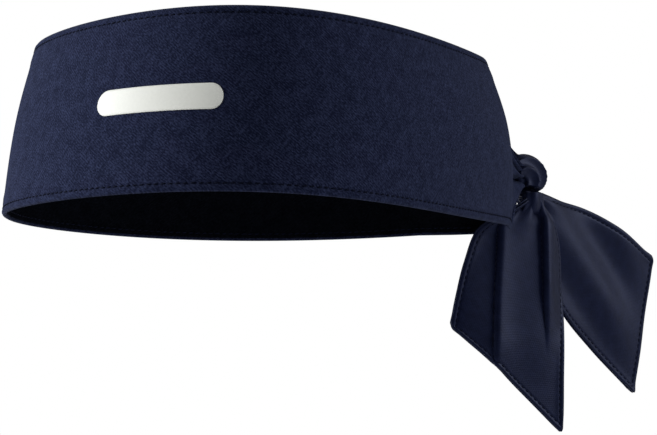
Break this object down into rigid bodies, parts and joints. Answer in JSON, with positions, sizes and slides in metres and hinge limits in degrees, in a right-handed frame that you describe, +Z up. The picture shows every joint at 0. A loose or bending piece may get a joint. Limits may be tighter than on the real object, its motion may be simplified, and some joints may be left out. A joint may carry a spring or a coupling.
{
  "type": "sports head tie",
  "caption": "Wide double-layer knit sweatband tied at the back of the head, with a gathered knot and slant-cut hanging tails.",
  "frame": {"origin": "middle of the head at the level of the band's lower edge", "axes": "+Z up, the forehead faces -Y, the knot is at +Y, the wearer's left is +X"},
  "size_m": [0.1736, 0.3006, 0.1435],
  "materials": {
    "band_knit": "matte navy interlock knit with a fine heathered grain",
    "lining_knit": "matte dark navy knit",
    "tie_knit": "smooth navy knit with a soft sheen",
    "stitch_thread": "navy polyester thread",
    "transfer_film": "white matt heat transfer"
  },
  "bodies": {
    "head_band": {"band_outer_panel": "band_knit", "band_lining": "lining_knit", "top_needle_thread": "stitch_thread", "top_bobbin_thread": "stitch_thread", "bottom_needle_thread": "stitch_thread", "bottom_bobbin_thread": "stitch_thread", "front_emblem": "transfer_film", "left_neck": "band_knit", "right_neck": "band_knit", "knot_core": "tie_knit", "left_knot_loop": "tie_knit", "right_knot_loop": "tie_knit"},
    "left_root": {"left_tail_root": "tie_knit"},
    "left_tail": {"left_tail_outer": "tie_knit", "left_tail_lining": "tie_knit", "left_tail_needle_thread": "stitch_thread", "left_tail_bobbin_thread": "stitch_thread"},
    "right_root": {"right_tail_root": "tie_knit"},
    "right_tail": {"right_tail_outer": "tie_knit", "right_tail_lining": "tie_knit", "right_tail_needle_thread": "stitch_thread", "right_tail_bobbin_thread": "stitch_thread"}
  },
  "joints": [
    {"name": "left_tail_splay", "type": "hinge", "parent": "head_band", "child": "left_root", "pos_m": [0.005, 0.127, 0.0091], "axis": [0, -1, 0], "range_deg": [0, 35]},
    {"name": "left_tail_swing", "type": "hinge", "parent": "left_root", "child": "left_tail", "pos_m": [0.005, 0.127, 0.0018], "axis": [1, 0, 0], "range_deg": [-10, 50]},
    {"name": "right_tail_splay", "type": "hinge", "parent": "head_band", "child": "right_root", "pos_m": [-0.005, 0.13612, 0.01288], "axis": [0, 0.7071, 0.7071], "range_deg": [0, 35]},
    {"name": "right_tail_swing", "type": "hinge", "parent": "right_root", "child": "right_tail", "pos_m": [-0.005, 0.14128, 0.00772], "axis": [1, 0, 0], "range_deg": [-35, 35]}
  ]
}
